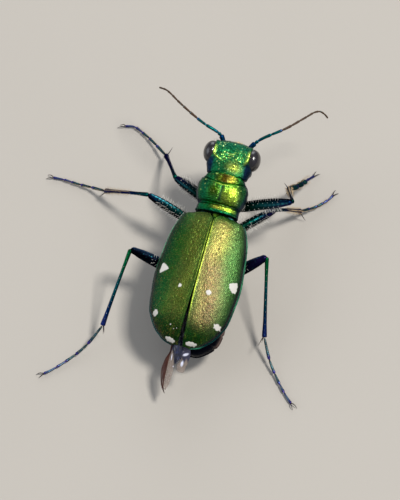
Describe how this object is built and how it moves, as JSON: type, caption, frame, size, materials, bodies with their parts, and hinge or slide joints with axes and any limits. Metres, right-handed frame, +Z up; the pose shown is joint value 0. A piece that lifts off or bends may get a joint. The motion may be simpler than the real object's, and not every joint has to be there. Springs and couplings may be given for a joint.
{
  "type": "six-spotted tiger beetle",
  "caption": "Still life-size model of a metallic green tiger beetle with white wing-case spots, standing on long legs with its head raised.",
  "frame": {"origin": "on the floor, under the middle of the model's box", "axes": "+Y forward along the body, from the wing tips to the head; +X to the beetle's right; +Z up from the floor"},
  "size_m": [0.018, 0.0186, 0.0054],
  "materials": {
    "metallic_green": "iridescent beetle cuticle, emerald green with gold by the seam and blue-green sides, finely pitted, satin gloss",
    "metallic_dark": "dark blue-green metallic cuticle of the underside and antennae, satin",
    "metallic_leg": "blue-black cuticle with green and violet sheen, with rows of white bristles",
    "eye": "glossy dark brown compound eye",
    "ivory": "ivory mouthparts, smooth, dark at the jaw tips",
    "wing": "smoky brown translucent flight wing with darker veins"
  },
  "bodies": {
    "root": {"head": "metallic_green", "labrum": "ivory", "mandible_left": "ivory", "maxillary_palp_left": "metallic_dark", "labial_palp_left": "metallic_dark", "eye_left": "eye", "antenna_left": "metallic_dark", "elytron_left": "metallic_green", "hindwing_left": "wing", "mandible_right": "ivory", "maxillary_palp_right": "metallic_dark", "labial_palp_right": "metallic_dark", "eye_right": "eye", "antenna_right": "metallic_dark", "elytron_right": "metallic_green", "hindwing_right": "wing", "prothorax": "metallic_green", "pterothorax": "metallic_dark", "abdomen": "metallic_dark", "coxa_front_left": "metallic_leg", "coxa_front_right": "metallic_leg", "coxa_middle_left": "metallic_leg", "coxa_middle_right": "metallic_leg", "coxa_hind_left": "metallic_leg", "coxa_hind_right": "metallic_leg", "femur_front_left": "metallic_leg", "femur_front_right": "metallic_leg", "femur_middle_left": "metallic_leg", "femur_middle_right": "metallic_leg", "femur_hind_left": "metallic_leg", "femur_hind_right": "metallic_leg", "tibia_front_left": "metallic_leg", "tibia_front_right": "metallic_leg", "tibia_middle_left": "metallic_leg", "tibia_middle_right": "metallic_leg", "tibia_hind_left": "metallic_leg", "tibia_hind_right": "metallic_leg", "tarsus_front_left": "metallic_leg", "tarsus_front_right": "metallic_leg", "tarsus_middle_left": "metallic_leg", "tarsus_middle_right": "metallic_leg", "tarsus_hind_left": "metallic_leg", "tarsus_hind_right": "metallic_leg"}
  },
  "joints": []
}
